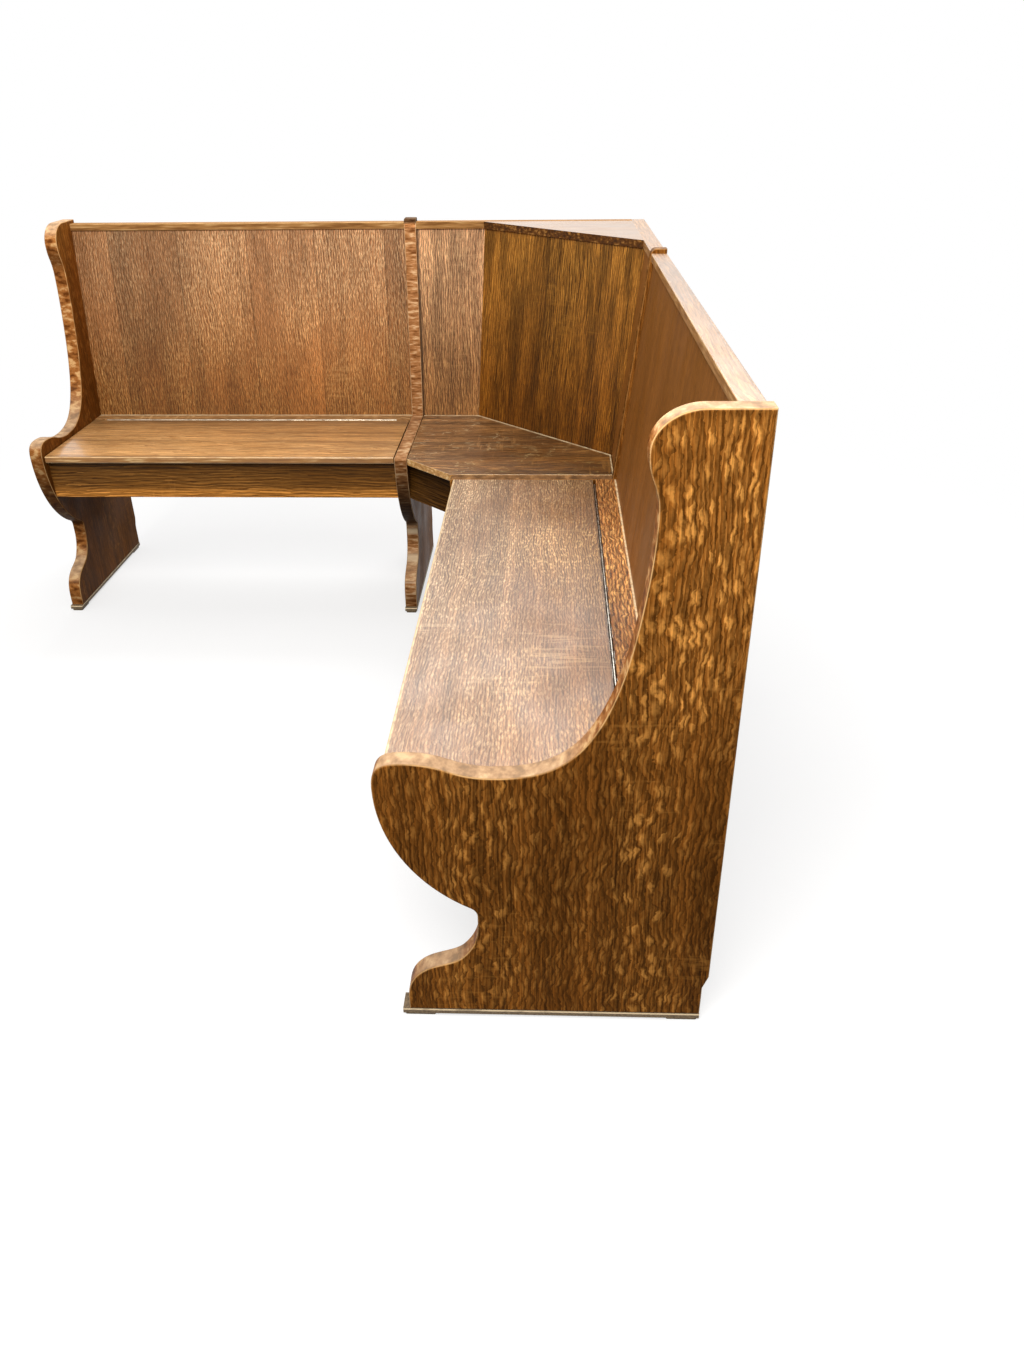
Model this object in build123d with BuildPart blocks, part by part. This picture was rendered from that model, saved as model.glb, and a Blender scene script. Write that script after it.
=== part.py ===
"""Corner bench: two settles with lift-up seats and scrolled oak ends, joined by a corner seat.

Millimetres, +Z up. X runs along the left bench and Y along the right bench, and the rear corner is at +X, +Y.
The origin is on the floor, at the middle of the outline. Heights are called z, and a reach is a distance
forward from a bench's rear plane.
"""

import os
from math import radians, sqrt, tan

from build123d import *

# Overall
LEFT_LENGTH = 1655.0
RIGHT_LENGTH = 1970.0
PANEL_HEIGHT = 1000.0
PANEL_THICK = 34.0
CORNER_REACH = 638.0
PANEL_ROUND = 3.0
BOARD_ROUND = 1.5

# Scrolled outline of the end panels, as reach and height
HEAD_FLAT = 78.0
HEAD_REACH = 143.3
HEAD_DROP = 52.0
THROAT_REACH = 128.0
THROAT_DROP = 128.0
SWEEP_REACH = 138.0
SWEEP_DROP = 248.0
HOLLOW_REACH = 201.0
HOLLOW_RISE = 77.0
ARM_DIP_REACH = 335.0
ARM_DIP_RISE = 12.5
ARM_NOSE = 44.2
ARM_RISE = 35.5
BELLY_PROUD = 8.2
BELLY_DROP = 8.0
BELLY_RADIUS = 252.6
WAIST_REACH = 363.7
WAIST_STRAIGHT = 33.0
WAIST_ROUND = 19.0
ANKLE = (389.0, 132.0)
INSTEP = (440.0, 108.0)
TOE_REACH = 480.0
TOE_Z = 40.0
NOTCH_DEPTH = 8.5
NOTCH_TOP = 98.0
NOTCH_SLOPE = 24.0

# Dividers
DIVIDER_PROUD = 8.0
DIVIDER_ROUND = 12.0
DIVIDER_NOSE = 14.0

# Feet
PAD_THICK = 6.0
PAD_LENGTH = 50.0
PAD_INSET = 3.0
SOLE_THICK = 10.0
SOLE_PROUD = 11.0

# Seats
SEAT_TOP = 466.0
SEAT_THICK = 18.0
SEAT_REACH = 501.0
SEAT_ROUND = 4.0
LID_SIDE_GAP = 2.5
CORNER_CUT = 124.0
CORNER_SEAT_GAP = 2.0
SEAT_BACK_GAP = 0.5

# Reclined backs
RECLINE_DEG = 7.0
BACK_TOP_REACH = 27.0
BACK_THICK = 18.0
DIAGONAL_TOP_REACH = 333.0
DIAGONAL_JOINT = 30.0

# Cap rails
CAP_DROP = 9.0
CAP_THICK = 18.0
CAP_OVERHANG = 5.0
CAP_ROUND = 2.5

# Aprons and the storage boxes behind them
APRON_SETBACK = 20.0
APRON_THICK = 20.0
APRON_HEIGHT = 102.0
CLEAT_WIDTH = 22.0
CLEAT_HEIGHT = 30.0
STRIP_CLEAT_WIDTH = 34.0
BEARER_WIDTH = 18.0
BEARER_HEIGHT = 15.0
BOTTOM_THICK = 6.0
CORNER_CLEAT_WIDTH = 30.0
CORNER_CLEAT_LENGTH = 400.0

# Battens
BACK_BATTEN_THICK = 20.0
BACK_BATTEN_HEIGHT = 60.0
BACK_BATTEN_HEIGHTS = (400.0, 680.0)
DIAGONAL_BATTEN_LENGTH = 440.0
LID_BATTEN_WIDTH = 45.0
LID_BATTEN_THICK = 15.0
LID_BATTEN_INSET = 24.0
LID_BATTEN_END = 190.0

# Piano hinges
HINGE_REACH = 147.0
HINGE_SINK = 1.5
HINGE_GAP = 7.0
HINGE_RADIUS = 3.0
HINGE_END = 40.0
LEAF_THICK = 1.0
LEAF_DEPTH = 16.0
LEAF_CLEAR = 0.6
PIN_RADIUS = 1.3
PIN_CLEAR = 0.05
KNUCKLE_PITCH = 50.0
KNUCKLE_GAP = 0.5
SCREW_RADIUS = 1.5
SCREW_LENGTH = 14.0
SCREW_HEAD_RADIUS = 2.8
SCREW_HEAD_THICK = 1.0
SCREW_PITCH = 170.0
SCREW_CLEAR = 0.05

# Bolts between the corner unit and the dividers
BOLT_RADIUS = 4.0
BOLT_CLEAR = 0.3
BOLT_HEAD_RADIUS = 9.0
BOLT_HEAD_THICK = 4.0
BOLT_TAIL = 10.0
NUT_ACROSS = 13.0
NUT_THICK = 6.5
BOLT_REACHES = (210.0, 400.0)

# Places worked out from the sizes above
REAR_X = LEFT_LENGTH / 2
REAR_Y = RIGHT_LENGTH / 2
LEFT_SPAN = LEFT_LENGTH - 2 * PANEL_THICK - CORNER_REACH
RIGHT_SPAN = RIGHT_LENGTH - 2 * PANEL_THICK - CORNER_REACH
SEAT_BOTTOM = SEAT_TOP - SEAT_THICK
CAP_TOP = PANEL_HEIGHT - CAP_DROP
CAP_BOTTOM = CAP_TOP - CAP_THICK
CLEAT_BOTTOM = SEAT_BOTTOM - CLEAT_HEIGHT
APRON_BOTTOM = SEAT_BOTTOM - APRON_HEIGHT
BOTTOM_Z = APRON_BOTTOM + BEARER_HEIGHT
BELLY_Z = SEAT_TOP - BELLY_DROP
BELLY_REACH = SEAT_REACH + BELLY_PROUD
SOLE_TOP = PAD_THICK + SOLE_THICK
SOLE_REACH = TOE_REACH + SOLE_PROUD
WAIST_TOP = BELLY_Z - sqrt(BELLY_RADIUS**2 - (WAIST_REACH - BELLY_REACH + BELLY_RADIUS) ** 2)
APRON_REACH = SEAT_REACH - APRON_SETBACK
APRON_REAR = APRON_REACH - APRON_THICK
LID_REAR = HINGE_REACH + HINGE_GAP / 2
STRIP_FRONT = HINGE_REACH - HINGE_GAP / 2
HINGE_Z = SEAT_TOP - HINGE_SINK
LEAF_Z = HINGE_Z - (HINGE_RADIUS + LEAF_CLEAR)
SCREW_Z = (LEAF_Z + HINGE_Z - LEAF_DEPTH) / 2
BOLT_Z = SEAT_BOTTOM - CLEAT_HEIGHT / 2
RECLINE = tan(radians(RECLINE_DEG))

# Each bench's frame: x from its left end as seen from the front, y to the rear, z up
LEFT = Plane((PANEL_THICK - REAR_X, REAR_Y, 0), x_dir=(1, 0, 0), z_dir=(0, 0, 1))
RIGHT = Plane((REAR_X, REAR_Y - CORNER_REACH - PANEL_THICK, 0), x_dir=(0, -1, 0), z_dir=(0, 0, 1))


def back_reach(z):
    """Reach of the front face of a straight back."""
    return BACK_TOP_REACH + RECLINE * (PANEL_HEIGHT - z)


def diagonal_reach(z):
    """Distance of the diagonal back's front face from the rear corner."""
    return DIAGONAL_TOP_REACH + RECLINE * (PANEL_HEIGHT - z)


CAP_REACH = back_reach(CAP_BOTTOM) + CAP_OVERHANG
CAP_DIAGONAL = diagonal_reach(CAP_BOTTOM) + CAP_OVERHANG
CORNER_SEAT_SIDE = CORNER_REACH - CORNER_SEAT_GAP
CORNER_SEAT_REACH = CORNER_SEAT_SIDE - CORNER_CUT
CORNER_APRON = (CORNER_SEAT_SIDE + CORNER_SEAT_REACH) / sqrt(2) - APRON_SETBACK


def side(bench, x):
    """Upright plane across a bench: its x is reach, its y is height, and it faces the bench's left end."""
    origin = bench.from_local_coords(Vector(x, 0, 0))
    return Plane(origin, x_dir=-bench.y_dir, z_dir=-bench.x_dir)


def front(bench, reach):
    """Upright plane along a bench, facing forward: its x runs along the bench and its y is height."""
    origin = bench.from_local_coords(Vector(0, -reach, 0))
    return Plane(origin, x_dir=bench.x_dir, z_dir=-bench.y_dir)


def plan(p, q):
    """Point in plan, p in front of the right bench's rear plane and q in front of the left bench's."""
    return (REAR_X - p, REAR_Y - q)


def diagonal(distance, offset):
    """Point in plan at a distance from the rear corner along its diagonal, offset to the left."""
    return plan((distance + offset) / sqrt(2), (distance - offset) / sqrt(2))


def mirrored(points):
    """The same plan points on the other side of the corner's diagonal."""
    return [plan(REAR_Y - y, REAR_X - x) for x, y in points]


def save(builder, label):
    """Name a finished piece and write it."""
    builder.part.label = label
    export_step(builder.part, f"parts/{label}.step")


def leg_outline():
    """Belly, waist and foot, from the belly's foremost point down to the toe."""
    waist_low = (WAIST_REACH, WAIST_TOP - WAIST_STRAIGHT)
    RadiusArc((BELLY_REACH, BELLY_Z), (WAIST_REACH, WAIST_TOP), BELLY_RADIUS)
    Line((WAIST_REACH, WAIST_TOP), waist_low)
    ankle = TangentArc(waist_low, ANKLE, tangent=(0, -1))
    Spline(ANKLE, INSTEP, (TOE_REACH, TOE_Z), tangents=(ankle % 1, (0, -1)))


def rear_outline(head_reach):
    """Sole, skirting notch, rear edge and top, from the toe round to the head."""
    Polyline(
        (TOE_REACH, TOE_Z),
        (TOE_REACH, SOLE_TOP),
        (NOTCH_DEPTH, SOLE_TOP),
        (NOTCH_DEPTH, NOTCH_TOP - NOTCH_SLOPE),
        (0, NOTCH_TOP),
        (0, PANEL_HEIGHT),
        (head_reach, PANEL_HEIGHT),
    )


def round_panel(panel, bench):
    """Round the waist, then every edge of the two broad faces."""
    along = Axis((0, 0, 0), bench.x_dir)
    waist = panel.edges().filter_by(along).sort_by_distance(
        side(bench, 0).from_local_coords(Vector(WAIST_REACH, WAIST_TOP, 0))
    )
    fillet(waist[:1], WAIST_ROUND)
    broad = panel.faces().filter_by(along).sort_by(along)
    fillet(broad[0].edges() + broad[-1].edges(), PANEL_ROUND)


def end_panel(label, bench, x):
    """Scrolled end: round head, hollow back line, arm bump, belly, waist and foot."""
    throat = (THROAT_REACH, PANEL_HEIGHT - THROAT_DROP)
    sweep = (SWEEP_REACH, PANEL_HEIGHT - SWEEP_DROP)
    hollow = (HOLLOW_REACH, SEAT_TOP + HOLLOW_RISE)
    arm_dip = (ARM_DIP_REACH, SEAT_TOP + ARM_DIP_RISE)
    arm_top = (BELLY_REACH - ARM_NOSE, SEAT_TOP + ARM_RISE)
    head_z = PANEL_HEIGHT - HEAD_DROP
    throat_pull = (head_z - throat[1]) / 2
    arm_pull = (arm_top[0] - arm_dip[0]) / 2
    nose_pull = 0.75
    with BuildPart() as panel:
        with BuildSketch(side(bench, x)):
            with BuildLine():
                EllipticalCenterArc((HEAD_FLAT, head_z), HEAD_REACH - HEAD_FLAT, HEAD_DROP, arc_size=90)
                Bezier(
                    (HEAD_REACH, head_z),
                    (HEAD_REACH, head_z - throat_pull),
                    (THROAT_REACH, throat[1] + throat_pull),
                    throat,
                )
                Spline(throat, sweep, hollow, arm_dip, tangents=((0, -1), (1, 0)))
                Bezier(
                    arm_dip,
                    (arm_dip[0] + arm_pull, arm_dip[1]),
                    (arm_top[0] - arm_pull, arm_top[1]),
                    arm_top,
                )
                Bezier(
                    arm_top,
                    (arm_top[0] + nose_pull * (BELLY_REACH - arm_top[0]), arm_top[1]),
                    (BELLY_REACH, BELLY_Z + nose_pull * (arm_top[1] - BELLY_Z)),
                    (BELLY_REACH, BELLY_Z),
                )
                leg_outline()
                rear_outline(HEAD_FLAT)
            make_face()
        extrude(amount=PANEL_THICK)
        round_panel(panel, bench)
    save(panel, label)


def divider(label, bench, x, bolts):
    """Upright between a bench and the corner, with a reclined front edge and its step flush with the seats."""
    slant_top = (back_reach(PANEL_HEIGHT) + DIVIDER_PROUD, PANEL_HEIGHT)
    slant_foot = (back_reach(SEAT_TOP) + DIVIDER_PROUD, SEAT_TOP)
    with BuildPart() as panel:
        with BuildSketch(side(bench, x)):
            with BuildLine():
                Polyline(slant_top, slant_foot, (BELLY_REACH - DIVIDER_NOSE, SEAT_TOP))
                Bezier(
                    (BELLY_REACH - DIVIDER_NOSE, SEAT_TOP),
                    (BELLY_REACH, SEAT_TOP),
                    (BELLY_REACH, BELLY_Z),
                )
                leg_outline()
                rear_outline(slant_top[0])
            make_face()
        extrude(amount=PANEL_THICK)
        along = Axis((0, 0, 0), bench.x_dir)
        head = side(bench, x).from_local_coords(Vector(slant_top[0], slant_top[1], 0))
        fillet(panel.edges().filter_by(along).sort_by_distance(head)[:1], DIVIDER_ROUND)
        round_panel(panel, bench)
        with BuildSketch(side(bench, x)):
            with Locations(*bolts):
                Circle(BOLT_RADIUS + BOLT_CLEAR)
        extrude(amount=PANEL_THICK, mode=Mode.SUBTRACT)
    save(panel, label)


def bar(label, bench, section, x0, x1, edge_round=0.0):
    """Straight piece along a bench, with one section from x0 to x1."""
    with BuildPart() as piece:
        with BuildSketch(side(bench, x1)):
            Polygon(*section, align=None)
        extrude(amount=x1 - x0)
        if edge_round > 0:
            fillet(piece.edges().filter_by(Axis((0, 0, 0), bench.x_dir)), edge_round)
    save(piece, label)


def back_section(z0, z1, behind, thick):
    """Section of a board that lies behind the reclined front face."""
    return [
        (back_reach(z0) - behind, z0),
        (back_reach(z1) - behind, z1),
        (back_reach(z1) - behind - thick, z1),
        (back_reach(z0) - behind - thick, z0),
    ]


def hinge_layout(span):
    """Ends of a hinge, its knuckles' starts and length, and its screws' places, along a bench."""
    start = HINGE_END
    length = span - 2 * HINGE_END
    count = 2 * round(length / KNUCKLE_PITCH / 2) + 1
    pitch = length / count
    knuckles = [start + pitch * k for k in range(count)]
    screws = round(length / SCREW_PITCH)
    places = [start + length * (k + 0.5) / screws for k in range(screws)]
    return start, length, knuckles, pitch, places


def hinge_leaf(label, bench, span, sense):
    """One leaf with every other knuckle; sense is 1 on the lid's side and -1 on the strip's side."""
    start, length, knuckles, pitch, places = hinge_layout(span)
    own = knuckles[1::2] if sense > 0 else knuckles[0::2]
    face = HINGE_REACH + sense * (HINGE_GAP / 2 - LEAF_THICK)
    web_middle = HINGE_REACH + sense * (HINGE_GAP / 2 - LEAF_THICK / 2)
    with BuildPart() as leaf:
        with BuildSketch(front(bench, face)):
            with Locations((start + length / 2, (LEAF_Z + HINGE_Z - LEAF_DEPTH) / 2)):
                Rectangle(length, LEAF_Z - HINGE_Z + LEAF_DEPTH)
            with Locations(*[(x, SCREW_Z) for x in places]):
                Circle(SCREW_RADIUS + SCREW_CLEAR, mode=Mode.SUBTRACT)
        extrude(amount=sense * LEAF_THICK)
        with BuildSketch(*[side(bench, x + pitch - KNUCKLE_GAP / 2) for x in own]):
            with Locations((HINGE_REACH, HINGE_Z)):
                Circle(HINGE_RADIUS)
            with Locations((web_middle, (LEAF_Z + HINGE_Z) / 2)):
                Rectangle(LEAF_THICK, HINGE_Z - LEAF_Z)
            with Locations((HINGE_REACH, HINGE_Z)):
                Circle(PIN_RADIUS + PIN_CLEAR, mode=Mode.SUBTRACT)
        extrude(amount=pitch - KNUCKLE_GAP)
    save(leaf, label)


def hinge_screws(label, bench, span, sense):
    """Round-headed screws through one leaf, their heads inside the closed hinge."""
    places = hinge_layout(span)[-1]
    face = HINGE_REACH + sense * (HINGE_GAP / 2 - LEAF_THICK)
    with BuildPart() as screws:
        with BuildSketch(front(bench, face)):
            with Locations(*[(x, SCREW_Z) for x in places]):
                Circle(SCREW_RADIUS)
        extrude(amount=sense * SCREW_LENGTH)
        with BuildSketch(front(bench, face)):
            with Locations(*[(x, SCREW_Z) for x in places]):
                Circle(SCREW_HEAD_RADIUS)
        extrude(amount=-sense * SCREW_HEAD_THICK)
    save(screws, label)


def hinge_pin(label, bench, span):
    """Wire pin through all knuckles."""
    start, length = hinge_layout(span)[:2]
    with BuildPart() as pin:
        with BuildSketch(side(bench, start + length)):
            with Locations((HINGE_REACH, HINGE_Z)):
                Circle(PIN_RADIUS)
        extrude(amount=length)
    save(pin, label)


def screwed_board(label, bench, section, x0, x1, span, sense, edge_round):
    """Seat lid or fixed strip, with pilot holes for the hinge screws in its hinge edge."""
    face = HINGE_REACH + sense * HINGE_GAP / 2
    along = Axis((0, 0, 0), bench.x_dir)
    with BuildPart() as board:
        with BuildSketch(side(bench, x1)):
            Polygon(*section, align=None)
        extrude(amount=x1 - x0)
        if edge_round > 0:
            foremost = board.edges().filter_by(along).sort_by(Axis((0, 0, 0), -bench.y_dir))[-2:]
            fillet(foremost, edge_round)
        with BuildSketch(front(bench, face)):
            with Locations(*[(x, SCREW_Z) for x in hinge_layout(span)[-1]]):
                Circle(SCREW_RADIUS + SCREW_CLEAR)
        extrude(amount=sense * SCREW_LENGTH, mode=Mode.SUBTRACT)
    save(board, label)


def seat_cleats(label, bench, span, bolt_x):
    """Bars on both ends of a bench under its lid and strip, one of them bored for the corner bolts."""
    section = [
        (back_reach(CLEAT_BOTTOM), CLEAT_BOTTOM),
        (back_reach(SEAT_BOTTOM), SEAT_BOTTOM),
        (APRON_REAR, SEAT_BOTTOM),
        (APRON_REAR, CLEAT_BOTTOM),
    ]
    with BuildPart() as cleats:
        with BuildSketch(side(bench, CLEAT_WIDTH), side(bench, span)):
            Polygon(*section, align=None)
        extrude(amount=CLEAT_WIDTH)
        with BuildSketch(side(bench, bolt_x)):
            with Locations(*[(reach, BOLT_Z) for reach in BOLT_REACHES]):
                Circle(BOLT_RADIUS + BOLT_CLEAR)
        extrude(amount=CLEAT_WIDTH, mode=Mode.SUBTRACT)
    save(cleats, label)


def lower_bearers(label, bench, span):
    """Bars on both ends of a bench under the bottom board."""
    section = [
        (back_reach(APRON_BOTTOM), APRON_BOTTOM),
        (back_reach(BOTTOM_Z), BOTTOM_Z),
        (APRON_REAR, BOTTOM_Z),
        (APRON_REAR, APRON_BOTTOM),
    ]
    with BuildPart() as bearers:
        with BuildSketch(side(bench, BEARER_WIDTH), side(bench, span)):
            Polygon(*section, align=None)
        extrude(amount=BEARER_WIDTH)
    save(bearers, label)


def back_battens(label, bench, span):
    """Boards across the rear of a straight back."""
    with BuildPart() as battens:
        for z in BACK_BATTEN_HEIGHTS:
            with BuildSketch(side(bench, span)):
                section = back_section(z, z + BACK_BATTEN_HEIGHT, BACK_THICK, BACK_BATTEN_THICK)
                Polygon(*section, align=None)
            extrude(amount=span)
    save(battens, label)


def lid_battens(label, bench, span):
    """Battens across the underside of a lid."""
    rear = LID_REAR + LID_BATTEN_INSET
    foremost = APRON_REAR - LID_BATTEN_INSET
    middle = -(rear + foremost) / 2
    with BuildPart() as battens:
        with BuildSketch(bench.offset(SEAT_BOTTOM)):
            with Locations((LID_BATTEN_END, middle), (span - LID_BATTEN_END, middle)):
                Rectangle(LID_BATTEN_WIDTH, foremost - rear)
        extrude(amount=-LID_BATTEN_THICK)
    save(battens, label)


def straight_bench(name, bench, span, bolt_x):
    """Everything between the two uprights of a straight bench."""
    bar(f"{name}_back", bench, back_section(APRON_BOTTOM, CAP_BOTTOM, 0, BACK_THICK), 0, span)
    back_battens(f"{name}_back_battens", bench, span)
    cap = [(0, CAP_BOTTOM), (CAP_REACH, CAP_BOTTOM), (CAP_REACH, CAP_TOP), (0, CAP_TOP)]
    bar(f"{name}_cap_rail", bench, cap, 0, span, CAP_ROUND)

    lid = [(LID_REAR, SEAT_BOTTOM), (SEAT_REACH, SEAT_BOTTOM), (SEAT_REACH, SEAT_TOP), (LID_REAR, SEAT_TOP)]
    lid_ends = (LID_SIDE_GAP, span - LID_SIDE_GAP)
    screwed_board(f"{name}_seat_lid", bench, lid, *lid_ends, span, 1, SEAT_ROUND)
    lid_battens(f"{name}_lid_battens", bench, span)
    strip = [
        (back_reach(SEAT_BOTTOM), SEAT_BOTTOM),
        (STRIP_FRONT, SEAT_BOTTOM),
        (STRIP_FRONT, SEAT_TOP),
        (back_reach(SEAT_TOP), SEAT_TOP),
    ]
    screwed_board(f"{name}_hinge_strip", bench, strip, 0, span, span, -1, 0.0)
    strip_cleat_front = back_reach(CLEAT_BOTTOM) + STRIP_CLEAT_WIDTH
    strip_cleat = [
        (back_reach(CLEAT_BOTTOM), CLEAT_BOTTOM),
        (strip_cleat_front, CLEAT_BOTTOM),
        (strip_cleat_front, SEAT_BOTTOM),
        (back_reach(SEAT_BOTTOM), SEAT_BOTTOM),
    ]
    bar(f"{name}_strip_cleat", bench, strip_cleat, CLEAT_WIDTH, span - CLEAT_WIDTH)

    apron = [
        (APRON_REAR, APRON_BOTTOM),
        (APRON_REACH, APRON_BOTTOM),
        (APRON_REACH, SEAT_BOTTOM),
        (APRON_REAR, SEAT_BOTTOM),
    ]
    bar(f"{name}_apron", bench, apron, 0, span, BOARD_ROUND)
    seat_cleats(f"{name}_seat_cleats", bench, span, bolt_x)
    lower_bearers(f"{name}_lower_bearers", bench, span)
    bottom_top = BOTTOM_Z + BOTTOM_THICK
    bottom = [
        (back_reach(BOTTOM_Z), BOTTOM_Z),
        (APRON_REAR, BOTTOM_Z),
        (APRON_REAR, bottom_top),
        (back_reach(bottom_top), bottom_top),
    ]
    bar(f"{name}_box_bottom", bench, bottom, 0, span)

    hinge_leaf(f"{name}_hinge_fixed_leaf", bench, span, -1)
    hinge_leaf(f"{name}_hinge_lid_leaf", bench, span, 1)
    hinge_pin(f"{name}_hinge_pin", bench, span)
    hinge_screws(f"{name}_hinge_fixed_screws", bench, span, -1)
    hinge_screws(f"{name}_hinge_lid_screws", bench, span, 1)


def slab(label, outline, z0, z1, edge_round=0.0):
    """Flat board from a plan outline, with its top and bottom edges rounded."""
    with BuildPart() as board:
        with BuildSketch(Plane.XY.offset(z0)):
            Polygon(*outline, align=None)
        extrude(amount=z1 - z0)
        if edge_round > 0:
            flats = board.faces().filter_by(Axis.Z)
            fillet(flats.edges(), edge_round)
    save(board, label)


def leaning(label, outline, spans):
    """Leaning boards: outline gives the plan at a height, and each span is a lower and an upper height."""
    with BuildPart() as board:
        for z0, z1 in spans:
            with BuildSketch(Plane.XY.offset(z0)):
                Polygon(*outline(z0), align=None)
            with BuildSketch(Plane.XY.offset(z1)):
                Polygon(*outline(z1), align=None)
            loft(ruled=True)
    save(board, label)


def seam(z, behind):
    """Offset of the mitre between the diagonal and a straight back, at a depth behind the front faces."""
    along = sqrt(2) * (diagonal_reach(z) - behind) - (back_reach(z) - behind)
    return (along - (back_reach(z) - behind)) / sqrt(2)


def corner_side_back(z):
    """Plan of the short straight back on the corner's left side."""
    near = back_reach(z)
    far = near - BACK_THICK
    return [
        plan(CORNER_REACH, near),
        diagonal(diagonal_reach(z), seam(z, 0)),
        diagonal(diagonal_reach(z) - BACK_THICK, seam(z, BACK_THICK)),
        plan(CORNER_REACH, far),
    ]


def diagonal_board(z, left):
    """Plan of one of the two boards of the diagonal back."""
    near = diagonal_reach(z)
    far = near - BACK_THICK
    sense = 1 if left else -1
    return [
        diagonal(near, sense * seam(z, 0)),
        diagonal(near, DIAGONAL_JOINT),
        diagonal(far, DIAGONAL_JOINT),
        diagonal(far, sense * seam(z, BACK_THICK)),
    ]


def diagonal_bar(near, far, length):
    """Plan of a bar across the corner's diagonal."""
    return [
        diagonal(near, length / 2),
        diagonal(near, -length / 2),
        diagonal(far, -length / 2),
        diagonal(far, length / 2),
    ]


def corner_unit():
    """Backs, caps, seat, apron and cleats between the two dividers."""
    back_span = [(APRON_BOTTOM, CAP_BOTTOM)]
    leaning("corner_left_back", corner_side_back, back_span)
    leaning("corner_right_back", lambda z: mirrored(corner_side_back(z)), back_span)
    leaning("diagonal_back_left_board", lambda z: diagonal_board(z, True), back_span)
    leaning("diagonal_back_right_board", lambda z: diagonal_board(z, False), back_span)

    def batten(z):
        near = diagonal_reach(z) - BACK_THICK
        return diagonal_bar(near, near - BACK_BATTEN_THICK, DIAGONAL_BATTEN_LENGTH)

    leaning("diagonal_back_battens", batten, [(z, z + BACK_BATTEN_HEIGHT) for z in BACK_BATTEN_HEIGHTS])

    left_cap = [
        plan(CAP_REACH, 0),
        plan(CORNER_REACH, 0),
        plan(CORNER_REACH, CAP_REACH),
        plan(CAP_REACH, CAP_REACH),
    ]
    right_cap = [
        plan(0, 0),
        plan(CAP_REACH, 0),
        plan(CAP_REACH, CORNER_REACH),
        plan(0, CORNER_REACH),
    ]
    cap_far = sqrt(2) * CAP_DIAGONAL - CAP_REACH
    top_board = [plan(CAP_REACH, CAP_REACH), plan(cap_far, CAP_REACH), plan(CAP_REACH, cap_far)]
    slab("corner_left_cap_rail", left_cap, CAP_BOTTOM, CAP_TOP)
    slab("corner_right_cap_rail", right_cap, CAP_BOTTOM, CAP_TOP)
    slab("corner_top_board", top_board, CAP_BOTTOM, CAP_TOP)

    seat_rear = back_reach(SEAT_BOTTOM) + SEAT_BACK_GAP
    seat_seam = sqrt(2) * (diagonal_reach(SEAT_BOTTOM) + SEAT_BACK_GAP) - seat_rear
    seat = [
        plan(CORNER_SEAT_SIDE, seat_rear),
        plan(CORNER_SEAT_SIDE, CORNER_SEAT_REACH),
        plan(CORNER_SEAT_REACH, CORNER_SEAT_SIDE),
        plan(seat_rear, CORNER_SEAT_SIDE),
        plan(seat_rear, seat_seam),
        plan(seat_seam, seat_rear),
    ]
    slab("corner_seat", seat, SEAT_BOTTOM, SEAT_TOP, BOARD_ROUND)

    apron_near = sqrt(2) * CORNER_APRON - CORNER_REACH
    apron_far = sqrt(2) * (CORNER_APRON - APRON_THICK) - CORNER_REACH
    apron = [
        plan(CORNER_REACH, apron_near),
        plan(apron_near, CORNER_REACH),
        plan(apron_far, CORNER_REACH),
        plan(CORNER_REACH, apron_far),
    ]
    slab("corner_apron", apron, APRON_BOTTOM, SEAT_BOTTOM)

    cleat_inner = CORNER_REACH - CLEAT_WIDTH
    cleat_rear = back_reach(CLEAT_BOTTOM)
    cleat = [
        plan(cleat_inner, cleat_rear),
        plan(CORNER_REACH, cleat_rear),
        plan(CORNER_REACH, apron_far),
        plan(cleat_inner, apron_far),
    ]
    with BuildPart() as cleats:
        with BuildSketch(Plane.XY.offset(CLEAT_BOTTOM)):
            Polygon(*cleat, align=None)
            Polygon(*mirrored(cleat), align=None)
        extrude(amount=CLEAT_HEIGHT)
        with BuildSketch(side(LEFT, LEFT_SPAN + PANEL_THICK + CLEAT_WIDTH), side(RIGHT, -PANEL_THICK)):
            with Locations(*[(reach, BOLT_Z) for reach in BOLT_REACHES]):
                Circle(BOLT_RADIUS + BOLT_CLEAR)
        extrude(amount=CLEAT_WIDTH, mode=Mode.SUBTRACT)
    save(cleats, "corner_seat_cleats")

    cleat_front = diagonal_reach(CLEAT_BOTTOM) + CORNER_CLEAT_WIDTH

    def rear_cleat(z):
        return diagonal_bar(cleat_front, diagonal_reach(z), CORNER_CLEAT_LENGTH)

    leaning("corner_rear_cleat", rear_cleat, [(CLEAT_BOTTOM, SEAT_BOTTOM)])


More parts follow.
